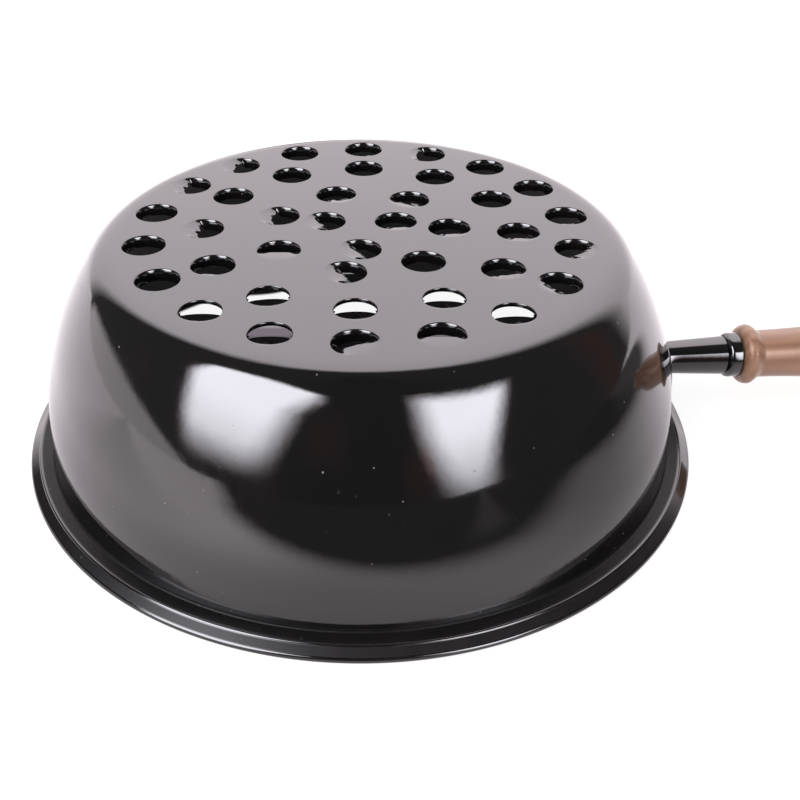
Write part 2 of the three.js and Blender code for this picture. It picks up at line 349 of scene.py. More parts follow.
# The room's angles are in degrees: azimuth is 0 towards the camera's side and grows towards +X. A side or
# top is a line (base, slope) or a parabola (base, bend, middle); soft is an edge's half width.
roomLook = {
    "leftBox": {
        "leftSide": (-62.6, -0.42), "leftSoft": 4.5,
        "rightSide": (-42.0, 0.3), "rightSoft": 8.0,
        "openFrom": 33.0, "openSlope": 1.05,       # the right side opens out at the top
        "top": (58.0, -0.0099, -62.0), "topSoft": 3.6,
        "foot": (3.0, 18.5), "fade": (8.0, 32.0, 0.68, 1.0),
    },
    "rightBox": {
        "leftSide": (19.8, 0.006, 36.0), "leftSoft": 7.0,
        "rightSide": (39.0, 0.0170, 0.0), "rightSoft": 5.0,
        "top": (43.6, -0.23), "topSoft": 2.6,
        "foot": (-11.0, 9.0), "fade": (-12.0, 28.0, 0.25, 1.0),
        "glowAcross": (32.0, 16.0), "glowUp": (-22.0, 0.0, 0.0, 0.32), "glowEnd": (2.0, 10.0, 1.0, 0.0),
    },
    "backdrop": {
        "rightEnd": 113.0, "rightSoft": (-0.15, 0.15), "leftEnd": 225.5, "leftSoft": (-0.10, 0.13),
        "topSlopes": (0.75, 5.35), "topSoft": 0.38, "level": (0.0, 60.0, 1.6, 3.25),
    },
    "lowWall": {
        "from": -129.0, "fromSoft": 2.5, "to": -50.0, "toSoft": 4.0,
        "top": (8.5, -0.0072, -98.0), "topSoft": 1.6, "level": 1.5,
    },
    "elsewhere": (15.0, 60.0, 0.045, 0.085),
    # dim warm patches: (azimuth, half width), (elevation, half height)
    "warmPatches": [((-17.0, 10.0), (25.0, 14.0)), ((96.0, 10.0), (14.0, 34.0)), ((15.0, 7.0), (10.0, 14.0))],
    "warmLevel": 0.07, "warmShare": 0.8, "windowTintFrom": (0.5, 3.0),
}


# Left softbox: slanting left side, right side that opens out at the top, arched top.
def leftSoftbox(tree, azimuth, elevation):
    box = roomLook["leftBox"]
    over = calc(tree, "MAXIMUM", calc(tree, "SUBTRACT", elevation, box["openFrom"]), 0.0)
    side = calc(tree, "MULTIPLY_ADD", over, box["openSlope"], line(tree, *box["rightSide"], elevation))
    return product(
        tree, above(tree, azimuth, line(tree, *box["leftSide"], elevation), box["leftSoft"]),
        above(tree, side, azimuth, box["rightSoft"]),
        above(tree, curve(tree, *box["top"], azimuth), elevation, box["topSoft"]),
        ramp(tree, elevation, *box["foot"]), ramp(tree, elevation, *box["fade"]))


# Right softbox: narrow at its foot, fading downwards.
def rightSoftbox(tree, azimuth, elevation):
    box = roomLook["rightBox"]
    return product(
        tree, above(tree, azimuth, curve(tree, *box["leftSide"], elevation), box["leftSoft"]),
        above(tree, curve(tree, *box["rightSide"], elevation), azimuth, box["rightSoft"]),
        above(tree, line(tree, *box["top"], azimuth), elevation, box["topSoft"]),
        ramp(tree, elevation, *box["foot"]), ramp(tree, elevation, *box["fade"]))


# The pale backdrop: its two ends are planes through the upright axis, its top a straight edge.
def backdropLevel(tree, axes, elevation):
    look = roomLook["backdrop"]
    x, y, z = axes

    def endPlane(angle):
        turn = math.radians(angle)
        return calc(tree, "MULTIPLY_ADD", x, math.cos(turn), product(tree, y, math.sin(turn)))

    alongX, alongY = look["topSlopes"]
    edge = calc(tree, "MULTIPLY_ADD", y, alongY, product(tree, x, alongX))
    return product(
        tree, ramp(tree, endPlane(look["rightEnd"]), *look["rightSoft"]),
        ramp(tree, product(tree, endPlane(look["leftEnd"]), -1.0), *look["leftSoft"]),
        ramp(tree, calc(tree, "SUBTRACT", edge, z), -look["topSoft"], look["topSoft"]),
        ramp(tree, elevation, *look["level"]))


# A low pale wall to the left.
def lowWallLevel(tree, azimuth, elevation):
    wall = roomLook["lowWall"]
    return product(
        tree, above(tree, azimuth, wall["from"], wall["fromSoft"]),
        above(tree, wall["to"], azimuth, wall["toSoft"]),
        above(tree, curve(tree, *wall["top"], azimuth), elevation, wall["topSoft"]), wall["level"])


# The room as the gloss sees it: a pale backdrop behind and beside the pan, two softboxes in front, a low
# pale wall to the left, dark elsewhere with dim warm patches.
def makeRoom():
    world = bpy.data.worlds.new("studioRoom")
    scene.world = world
    world.use_nodes = True
    tree = world.node_tree
    tree.nodes.clear()
    view = addNode(tree, "ShaderNodeTexCoord").outputs["Generated"]
    split = addNode(tree, "ShaderNodeSeparateXYZ", Vector=view)
    x, y, z = (split.outputs[name] for name in "XYZ")
    degrees = 180 / math.pi
    azimuth = product(tree, calc(tree, "ARCTAN2", x, calc(tree, "MULTIPLY", y, -1.0)), degrees)
    elevation = product(tree, calc(tree, "ARCSINE", z), degrees)

    right = roomLook["rightBox"]
    glow = product(
        tree, hump(tree, azimuth, *right["glowAcross"]), ramp(tree, elevation, *right["glowUp"]),
        ramp(tree, elevation, *right["glowEnd"]))
    boxes = calc(tree, "ADD", leftSoftbox(tree, azimuth, elevation), rightSoftbox(tree, azimuth, elevation))
    boxes = calc(tree, "MULTIPLY_ADD", boxes, studio["windowGloss"], glow)

    warm = 0.0
    for across, up in roomLook["warmPatches"]:
        patch = product(tree, hump(tree, azimuth, *across), hump(tree, elevation, *up))
        warm = calc(tree, "MAXIMUM", warm, patch)
    away = calc(tree, "ABSOLUTE", azimuth)
    gloss = line(tree, ramp(tree, away, *roomLook["elsewhere"]), roomLook["warmLevel"], warm)
    gloss = calc(tree, "MAXIMUM", gloss, backdropLevel(tree, (x, y, z), elevation))
    gloss = calc(tree, "MAXIMUM", gloss, lowWallLevel(tree, azimuth, elevation))
    gloss = calc(tree, "ADD", gloss, boxes)

    path = addNode(tree, "ShaderNodeLightPath")
    level = blend(tree, path.outputs["Is Glossy Ray"], studio["fillLevel"], gloss)
    level = blend(tree, path.outputs["Is Camera Ray"], level, 1.0)
    inBoxes = ramp(tree, boxes, *roomLook["windowTintFrom"])
    tint = mixColour(tree, inBoxes, studio["sheetTint"], studio["windowTint"])
    tint = mixColour(tree, product(tree, warm, roomLook["warmShare"]), tint, studio["warmTint"])
    tint = mixColour(tree, path.outputs["Is Glossy Ray"], grey(1.0), tint)
    background = addNode(tree, "ShaderNodeBackground", Color=tint, Strength=level)
    addNode(tree, "ShaderNodeOutputWorld", Surface=background.outputs[0])


def makeKeyLight():
    lamp = bpy.data.lights.new("keyLight", "AREA")
    lamp.shape = "SQUARE"
    lamp.size = studio["keySize"]
    lamp.energy = studio["keyPower"]
    key = bpy.data.objects.new("keyLight", lamp)
    scene.collection.objects.link(key)
    key.location = studio["keyPlace"]
    key.rotation_euler = (-key.location).to_track_quat("-Z", "Y").to_euler()
    key.visible_glossy = False


makeFloor()
makeRoom()
makeKeyLight()
print("starter pan: studio ready")


# Corners of the quads of a grid of points, row by row: point (i, j) has the number i * columns + j. A
# closed direction joins its end to its start.
def gridQuads(rows, columns, closeRows=False, closeColumns=False):
    i, j = np.meshgrid(
        np.arange(rows if closeRows else rows - 1),
        np.arange(columns if closeColumns else columns - 1), indexing="ij")
    iNext, jNext = (i + 1) % rows, (j + 1) % columns
    quads = np.stack(
        [i * columns + j, iNext * columns + j, iNext * columns + jNext, i * columns + jNext], -1)
    return quads.reshape(-1, 4)


# Several grids of points, in millimetres, become one welded shell with its faces outwards.
def shellPiece(name, grids, material, sharpDegrees=40.0):
    mesh = bpy.data.meshes.new(name)
    points, faces, start = [], [], 0
    for grid, corners in grids:
        flat = np.asarray(grid, float).reshape(-1, 3)
        points.append(flat)
        faces += (np.asarray(corners) + start).tolist()
        start += len(flat)
    mesh.from_pydata((np.concatenate(points) * mm).tolist(), [], faces)
    work = bmesh.new()
    work.from_mesh(mesh)
    bmesh.ops.remove_doubles(work, verts=work.verts, dist=2e-6)
    bmesh.ops.recalc_face_normals(work, faces=work.faces)
    work.to_mesh(mesh)
    work.free()
    mesh.shade_smooth()
    mesh.set_sharp_from_angle(angle=math.radians(sharpDegrees))
    mesh.materials.append(material)
    piece = bpy.data.objects.new(name, mesh)
    scene.collection.objects.link(piece)
    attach(piece, "root")
    return piece


# One grid of points as a piece.
def gridPiece(name, grid, material, closeRows=True, closeColumns=True):
    return shellPiece(name, [(grid, gridQuads(*grid.shape[:2], closeRows, closeColumns))], material)


# An arc in a profile's plane: centre + radius * (cos a, sin a), with a running evenly.
def arcPoints(centre, radius, fromDegrees, toDegrees, count):
    a = np.radians(np.linspace(fromDegrees, toDegrees, count))
    return np.column_stack([centre[0] + radius * np.cos(a), centre[1] + radius * np.sin(a)])


# A profile of (radius, height) turned about the pan's axis: (r cos a, r sin a, z) over the circle a.
def turnedUp(profile, sides):
    a = np.linspace(0, 2 * np.pi, sides, endpoint=False)[:, None]
    r, z = profile[None, :, 0], profile[None, :, 1]
    return np.stack([r * np.cos(a), r * np.sin(a), z + 0 * a], -1)


# A profile of (radius, distance) turned about the handle's axis: (x, r cos a, axis height + r sin a).
def turnedOut(profile, sides, axisHeight):
    a = np.linspace(0, 2 * np.pi, sides, endpoint=False)[:, None]
    r, x = profile[None, :, 0], profile[None, :, 1]
    return np.stack([x + 0 * a, r * np.cos(a), axisHeight + r * np.sin(a)], -1)


# A shader group with its inputs and one mask as its output.
def startGroup(name, inputs):
    group = bpy.data.node_groups.new(name, "ShaderNodeTree")
    for label, kind in inputs.items():
        group.interface.new_socket(label, in_out="INPUT", socket_type=kind)
    group.interface.new_socket("Mask", in_out="OUTPUT", socket_type="NodeSocketFloat")
    return group, group.nodes.new("NodeGroupInput").outputs


def endGroup(group, mask):
    result = group.nodes.new("NodeGroupOutput")
    group.links.new(mask, result.inputs["Mask"])
    return group


# Dust and pinholes: the nearest-point distance of a 3-D cell pattern, kept only in some random cells.
def makeSpecksGroup():
    number = "NodeSocketFloat"
    group, given = startGroup(
        "dustSpecks", {"Place": "NodeSocketVector", "Scale": number, "Size": number, "Rarity": number})
    cells = addNode(
        group, "ShaderNodeTexVoronoi", {"feature": "F1"}, Vector=given["Place"], Scale=given["Scale"])
    chance = addNode(group, "ShaderNodeSeparateColor", Color=cells.outputs["Color"])
    kept = calc(group, "GREATER_THAN", chance.outputs["Red"], given["Rarity"])
    varied = calc(group, "MULTIPLY", given["Size"], chance.outputs["Green"])
    near = calc(group, "LESS_THAN", cells.outputs["Distance"], varied)
    return endGroup(group, product(group, kept, near))


# Soft wear of a surface: two sizes of cloud multiplied, for smudges and handling.
def makeSmudgeGroup():
    group, given = startGroup("handlingSmudges", {"Place": "NodeSocketVector", "Scale": "NodeSocketFloat"})
    finerScale = calc(group, "MULTIPLY", given["Scale"], 7.0)
    broad = noise(group, given["Place"], given["Scale"], 3.0, 0.55)
    finer = noise(group, given["Place"], finerScale, 4.0, 0.65)
    return endGroup(group, product(group, ramp(group, broad, 0.42, 0.66), ramp(group, finer, 0.35, 0.65)))


specksGroup = makeSpecksGroup()
smudgeGroup = makeSmudgeGroup()


def startMaterial(name):
    material = bpy.data.materials.new(name)
    material.use_nodes = True
    tree = material.node_tree
    tree.nodes.clear()
    shader = tree.nodes.new("ShaderNodeBsdfPrincipled")
    addNode(tree, "ShaderNodeOutputMaterial", Surface=shader.outputs[0])
    place = addNode(tree, "ShaderNodeTexCoord").outputs["Object"]
    return material, tree, shader, place


def placeGroup(tree, group, **sockets):
    node = tree.nodes.new("ShaderNodeGroup")
    node.node_tree = group
    for key, value in sockets.items():
        feed(tree, node.inputs[key], value)
    return node.outputs["Mask"]


# Places pressed together along X, which draws a pattern out along the handle.
def drawnOut(tree, place, share):
    node = addNode(tree, "ShaderNodeMapping", {"vector_type": "POINT"}, Vector=place, Scale=(share, 1.0, 1.0))
    return node.outputs[0]


enamelLook = {
    "colour": (0.0075, 0.0070, 0.0074, 1),
    "warmColour": (0.011, 0.0085, 0.0082, 1),
    "dustColour": (0.15, 0.145, 0.14, 1),
    "ior": 1.75,
    "specular": 0.5,
    "roughness": (0.06, 0.13),
    "smudgeScale": 22.0,
    "dust": {"Scale": 290.0, "Size": 0.08, "Rarity": 0.35},
    "dustRoughness": 0.5,
    "pits": {"Scale": 260.0, "Size": 0.10, "Rarity": 0.93},
    "peelScale": 290.0,        # orange peel, waves per metre
    "peelHeight": 1.3e-5,
    "waveScale": 34.0,         # slow dents of the pressing
    "waveHeight": 0.35e-4,
    # painted shade, in millimetres: a darker and duller reflection in the trough between wall and rim, and on
    # the front of the brim's slope
    "troughUp": (-60.6, -59.8, 1.0, 0.0),
    "troughFrom": (92.0, 93.0),
    "troughTo": (95.9, 96.9, 1.0, 0.0),
    "slopeFrom": (97.0, 97.5),
    "slopeTo": (99.1, 99.6, 1.0, 0.0),
    "slopeFront": (-62.0, -40.0, 0.85, 0.0),
    "paintedShadeRoughness": 0.35,
    "paintedShadeSpecular": -0.42,
}


# Black vitreous enamel: glossy, with orange peel, slow waves, faint smudges and a little dust, and with
# painted
# shade: darker and duller in the trough between wall and rim and on the front of the brim's slope.
def makeEnamel():
    look = enamelLook
    material, tree, shader, place = startMaterial("blackEnamel")
    smudges = placeGroup(tree, smudgeGroup, Place=place, Scale=look["smudgeScale"])
    dust = placeGroup(tree, specksGroup, Place=place, **look["dust"])
    pits = placeGroup(tree, specksGroup, Place=place, **look["pits"])
    x, y, z = inMillimetres(tree, place)
    radius = fromAxis(tree, x, y)
    # painted shade: a darker, duller reflection in the trough and on the front of the brim's slope
    inTrough = product(
        tree, ramp(tree, z, *look["troughUp"]), ramp(tree, radius, *look["troughFrom"]),
        ramp(tree, radius, *look["troughTo"]))
    onSlope = product(
        tree, ramp(tree, radius, *look["slopeFrom"]), ramp(tree, radius, *look["slopeTo"]),
        ramp(tree, y, *look["slopeFront"]))
    paintedShade = calc(tree, "MAXIMUM", inTrough, onSlope)
    base = mixColour(tree, smudges, look["colour"], look["warmColour"])
    feed(tree, shader.inputs["Base Color"], mixColour(tree, dust, base, look["dustColour"]))
    low, high = look["roughness"]
    rough = calc(tree, "MULTIPLY_ADD", smudges, high - low, low)
    rough = calc(tree, "MULTIPLY_ADD", paintedShade, look["paintedShadeRoughness"], rough)
    rough = calc(tree, "MULTIPLY_ADD", dust, look["dustRoughness"], rough)
    feed(tree, shader.inputs["Roughness"], rough)
    specular = calc(tree, "MULTIPLY_ADD", paintedShade, look["paintedShadeSpecular"], look["specular"])
    feed(tree, shader.inputs["Specular IOR Level"], specular)
    peel = noise(tree, place, look["peelScale"], 2.0, 0.5)
    wave = noise(tree, place, look["waveScale"], 1.0, 0.4)
    slow = addNode(tree, "ShaderNodeBump", None, Strength=1.0, Distance=look["waveHeight"], Height=wave)
    fine = addNode(
        tree, "ShaderNodeBump", None, Strength=1.0, Distance=look["peelHeight"],
        Height=calc(tree, "SUBTRACT", peel, pits), Normal=slow.outputs["Normal"])
    feed(tree, shader.inputs["Normal"], fine.outputs["Normal"])
    shader.inputs["IOR"].default_value = look["ior"]
    return material


woodLook = {
    "pale": (0.50, 0.28, 0.19, 1),
    "deep": (0.31, 0.150, 0.095, 1),
    "pore": (0.16, 0.075, 0.035, 1),
    "roughness": (0.30, 0.42),
    "bendDrawn": 0.10,         # shares: the smaller, the longer the pattern along the grip
    "bendScale": 42.0,
    "bendShift": 0.010,
    "ringScale": 95.0,
    "ringDistortion": 2.2,
    "ringShare": 0.55,
    "fibreDrawn": 0.055,
    "fibreScale": 1500.0,
    "poreFrom": (0.60, 0.72),
    "poreShare": 0.45,
    "poreRoughness": 0.15,
    "wearScale": 38.0,
    "fibreHeight": 0.3,
    "bumpHeight": 2.5e-5,
}


# Turned hardwood under satin lacquer: rings across the grip, drawn out along its axis, with short pores.
def makeWood():
    look = woodLook
    material, tree, shader, place = startMaterial("turnedWood")
    along = drawnOut(tree, place, look["bendDrawn"])
    bend = addNode(
        tree, "ShaderNodeTexNoise", None, Vector=along, Scale=look["bendScale"], Detail=3.0, Roughness=0.5)
    shifted = addNode(tree, "ShaderNodeVectorMath", {"operation": "MULTIPLY_ADD"})
    feed(tree, shifted.inputs[0], bend.outputs["Color"])
    feed(tree, shifted.inputs[1], [look["bendShift"]] * 3)
    feed(tree, shifted.inputs[2], along)
    rings = addNode(
        tree, "ShaderNodeTexWave", {"wave_type": "BANDS", "bands_direction": "Y", "wave_profile": "SIN"},
        Vector=shifted.outputs[0], Scale=look["ringScale"], Distortion=look["ringDistortion"],
        Detail=3.0, Detail_Scale=1.6)
    fibre = noise(tree, drawnOut(tree, place, look["fibreDrawn"]), look["fibreScale"], 4.0, 0.6)
    pores = ramp(tree, fibre, *look["poreFrom"])
    clouds = product(tree, bend.outputs["Fac"], 1 - look["ringShare"])
    tone = calc(tree, "MULTIPLY_ADD", rings.outputs["Fac"], look["ringShare"], clouds)
    colour = mixColour(tree, tone, look["pale"], look["deep"])
    colour = mixColour(tree, product(tree, pores, look["poreShare"]), colour, look["pore"])
    worn = placeGroup(tree, smudgeGroup, Place=place, Scale=look["wearScale"])
    low, high = look["roughness"]
    rough = calc(tree, "MULTIPLY_ADD", worn, high - low, low)
    feed(tree, shader.inputs["Base Color"], colour)
    feed(tree, shader.inputs["Roughness"], calc(tree, "MULTIPLY_ADD", pores, look["poreRoughness"], rough))
    height = calc(tree, "SUBTRACT", product(tree, fibre, look["fibreHeight"]), pores)
    bump = addNode(tree, "ShaderNodeBump", None, Strength=0.6, Distance=look["bumpHeight"], Height=height)
    feed(tree, shader.inputs["Normal"], bump.outputs["Normal"])
    return material


steelLook = {
    "colour": (0.66, 0.66, 0.67, 1),
    "dull": (0.42, 0.41, 0.40, 1),
    "roughness": (0.20, 0.45),
    "wearScale": 90.0,
    "spots": {"Scale": 520.0, "Size": 0.16, "Rarity": 0.88},
    "markDrawn": 0.08,
    "markScale": 3200.0,
    "markHeight": 6e-6,
}


# Bright plated steel wire: fine drawing marks, duller where it is handled.
def makeSteel():
    look = steelLook
    material, tree, shader, place = startMaterial("platedSteel")
    worn = placeGroup(tree, smudgeGroup, Place=place, Scale=look["wearScale"])
    spots = placeGroup(tree, specksGroup, Place=place, **look["spots"])
    dull = calc(tree, "MAXIMUM", worn, spots)
    feed(tree, shader.inputs["Base Color"], mixColour(tree, dull, look["colour"], look["dull"]))
    low, high = look["roughness"]
    feed(tree, shader.inputs["Roughness"], calc(tree, "MULTIPLY_ADD", dull, high - low, low))
    marks = noise(tree, drawnOut(tree, place, look["markDrawn"]), look["markScale"], 3.0, 0.6)
    bump = addNode(tree, "ShaderNodeBump", None, Strength=0.5, Distance=look["markHeight"], Height=marks)
    feed(tree, shader.inputs["Normal"], bump.outputs["Normal"])
    shader.inputs["Metallic"].default_value = 1.0
    return material


enamel = makeEnamel()
wood = makeWood()
steel = makeSteel()
print("starter pan: finishes ready")

pan = {
    "sheet": 1.2, "wallRadius": 92.2, "baseRadius": 65.7, "wallArc": 80.0, "cornerRadius": 12.0,
    "sides": 288,
    # the brim: the wall leans out again, turns into a flat flange, steps down and falls to a rolled edge
    "flangeDrop": 61.2, "footFlare": 12.0, "neckRadius": 0.6, "shoulderRadius": 0.7, "hollowRadius": 0.5,
    "slope": 33.0, "edgeRadius": 1.05, "edgeAt": (98.85, -63.95), "footAt": (97.8, -64.4),
    "stepTurn": 30.0, "innerSetback": 0.6,
    # the holes: rings of (radius, count, turn)
    "boreRadius": 5.35, "mouth": 0.83, "lip": 3.2, "thinEdge": 0.45, "samples": 48, "steps": 13,
    "rings": [(59.4, 18, 4.5), (43.9, 12, -6.0), (25.0, 7, -1.0), (11.6, 3, 25.0)],
    "viewTurn": -4.5,          # flap directions are given as the view sees them
    "flatRing": 0.15,          # a narrow flat ring outside the roll keeps the plate's shading flat
    "tipRoll": 0.28,           # how far the free edge rolls out, as a share of its thickness
    "flapSide": 0.38,          # sine of the angle over which a flap goes over into the lip
    # burrs: waves round the hole, what divides each, and how far they go across and down
    "burrSeed": 11, "burrWaves": (5.0, 9.0, 14.0, 21.0), "burrFall": (1.0, 1.2, 1.6, 2.2),
    "burrAcross": 0.7, "burrDown": 0.4,
    # the mouth's width for the shallowest lip, and the span of lip depth over which it opens fully
    "shallowMouth": 0.35, "shallowLip": 0.55, "lipSpan": 2.4,
}
# How each punched edge hangs, by ring and hole: direction of the flap from the hole's middle; where the
# flap's edge lies, from -5 (hardly a flap) past 0 (across the middle) to 5 (almost closed); its tilt; depth
# of the drawn lip elsewhere; size of the burrs on the flap's edge; softness of its fold.
pan["flaps"] = {
    (0, 0): (-90, -4.5, 12, 3.0, 0.30, 0.25),
    (0, 3): (180, -3.3, 12, 2.9, 0.15, 0.25),
    (0, 4): (-90, -4.5, 12, 3.0, 0.30, 0.25),
    (0, 6): (172, -2.1, 13, 3.0, 0.35, 0.25),
    (0, 7): (182, -2.0, 13, 3.0, 0.45, 0.25),
    (0, 11): (-90, 3.4, 17, 0.45, 0.08, 0.06),
    (0, 12): (-90, 3.1, 17, 0.45, 0.08, 0.06),
    (0, 13): (-62, 0.4, 9, 3.1, 0.05, 0.20),
    (0, 14): (-90, 0.6, 7, 3.2, 0.0, 0.20),
    (0, 15): (-84, 3.4, 17, 0.45, 0.25, 0.06),
    (0, 16): (218, -2.3, 12, 3.0, 0.35, 0.25),
    (0, 17): (-48, -1.8, 9, 3.0, 0.45, 0.20),
    (1, 0): (-88, -2.9, 9, 3.0, 0.15, 0.20),
    (1, 6): (184, -1.5, 13, 3.0, 0.50, 0.25),
    (1, 7): (-90, -4.3, 10, 3.0, 0.30, 0.25),
    (1, 8): (-84, 3.5, 17, 0.45, 0.30, 0.06),
    (1, 9): (-88, 3.8, 17, 0.45, 0.15, 0.06),
    (1, 10): (-90, 3.8, 17, 0.45, 0.05, 0.06),
    (1, 11): (-82, -2.4, 9, 3.0, 0.25, 0.20),
    (2, 0): (-82, -3.0, 9, 3.0, 0.15, 0.20),
    (2, 1): (-112, -0.4, 9, 3.0, 0.10, 0.25),
    (2, 2): (-76, -2.4, 9, 3.0, 0.15, 0.20),
    (2, 3): (181, -2.1, 13, 3.0, 0.35, 0.25),
    (2, 4): (-90, 0.2, 7, 3.3, 0.0, 0.20),
    (2, 5): (204, 0.4, 13, 3.0, 0.15, 0.30),
    (3, 0): (-86, -3.1, 9, 3.0, 0.15, 0.20),
    (3, 1): (203, -0.4, 13, 3.0, 0.10, 0.30),
    (3, 2): (206, 0.4, 12, 3.0, 0.05, 0.30),
}
# the wall's arc meets the corner's arc with one tangent
wallCentre = (
    pan["wallRadius"] - pan["wallArc"],
    -pan["cornerRadius"] - math.sqrt(
        (pan["wallArc"] - pan["cornerRadius"]) ** 2
        - (pan["baseRadius"] - pan["wallRadius"] + pan["wallArc"]) ** 2))
footTurn = math.radians(pan["footFlare"])
flareRadius = (
    wallCentre[1] + pan["flangeDrop"] - pan["neckRadius"] * (1 - math.sin(footTurn))) / math.sin(footTurn)


# Outer radius of the wall at a height, moved out square to the wall: a bulging arc above its widest line,
# a hollow arc under it.
def wallRadiusAt(z, outwards=0.0):
    over = np.maximum(z - wallCentre[1], 0.0)
    under = np.minimum(z - wallCentre[1], 0.0)
    bulge = wallCentre[0] + np.sqrt((pan["wallArc"] + outwards) ** 2 - over ** 2)
    hollow = pan["wallRadius"] + flareRadius - np.sqrt((flareRadius - outwards) ** 2 - under ** 2)
    return np.where(over > 0, bulge, hollow)


# The sheet's section as runs of tangent arcs, from the base's outer face over corner, wall, neck, flange,
# step and rolled edge, and back under the brim and up inside the wall to the base's inner face.
def sheetSection():
    sheet, steep = pan["sheet"], math.radians(pan["slope"])
    corner = (pan["baseRadius"], -pan["cornerRadius"])
    topAngle = math.degrees(math.atan2(corner[1] - wallCentre[1], corner[0] - wallCentre[0]))
    flare = (pan["wallRadius"] + flareRadius, wallCentre[1])
    flareEnd = arcPoints(flare, flareRadius, 180, 180 + pan["footFlare"], 6)
    neck = flareEnd[-1] + pan["neckRadius"] * np.array([math.cos(footTurn), math.sin(footTurn)])
    shoulderR, hollowR, edgeR = pan["shoulderRadius"], pan["hollowRadius"], pan["edgeRadius"]
    edge = np.array(pan["edgeAt"])
    edgeStart = edge + edgeR * np.array([math.sin(steep), math.cos(steep)])
    stepTurn = pan["stepTurn"]
    side = np.array([math.cos(math.radians(stepTurn)), math.sin(math.radians(stepTurn))])
    stepOver = (shoulderR + hollowR) * side + hollowR * np.array([-math.sin(steep), -math.cos(steep)])
    shoulderZ = -pan["flangeDrop"] - shoulderR
    stepEndZ = shoulderZ + stepOver[1]
    stepEndR = edgeStart[0] - (stepEndZ - edgeStart[1]) / math.tan(steep)
    shoulder = np.array([stepEndR - stepOver[0], shoulderZ])
    foot, footR = pan["footAt"], pan["edgeAt"][1] - edgeR - pan["footAt"][1]
    innerTop = (shoulder[0] - pan["innerSetback"], -pan["flangeDrop"] - 2 * sheet)
    return np.concatenate([
        arcPoints(corner, pan["cornerRadius"], 90, topAngle, 18),
        arcPoints(wallCentre, pan["wallArc"], topAngle, 0, 20)[1:],
        flareEnd[1:],
        arcPoints(neck, pan["neckRadius"], 180 + pan["footFlare"], 270, 7)[1:],
        arcPoints(shoulder, shoulderR, 90, stepTurn, 6),
        arcPoints(
            shoulder + (shoulderR + hollowR) * side, hollowR, 180 + stepTurn, 270 - pan["slope"], 4)[1:],
        arcPoints(edge, edgeR, 90 - pan["slope"], -90, 14),
        arcPoints(foot, -footR, -90, -180, 6),
        arcPoints(innerTop, sheet, 0, 90, 7),
        arcPoints(neck, pan["neckRadius"] + sheet, 270, 180 + pan["footFlare"], 7),
        arcPoints(flare, flareRadius + sheet, 180 + pan["footFlare"], 180, 4)[1:],
        arcPoints(wallCentre, pan["wallArc"] - sheet, 0, topAngle, 16)[1:],
        arcPoints(corner, pan["cornerRadius"] - sheet, topAngle, 90, 12)[1:],
    ])


# Where the holes are, and how their edges hang: hole k of a ring lies at its radius, at the angle
# turn + 360 k / count.
def holeTable():
    places, flaps = [], []
    plain = (-90.0, -pan["boreRadius"], 0.0, pan["lip"], 0.0, 0.3)
    for ring, (radius, count, turn) in enumerate(pan["rings"]):
        angles = np.radians(turn + 360.0 * np.arange(count) / count)
        places.append(np.column_stack([radius * np.cos(angles), radius * np.sin(angles)]))
        flaps += [pan["flaps"].get((ring, hole), plain) for hole in range(count)]
    return np.concatenate(places), np.array(flaps, float)


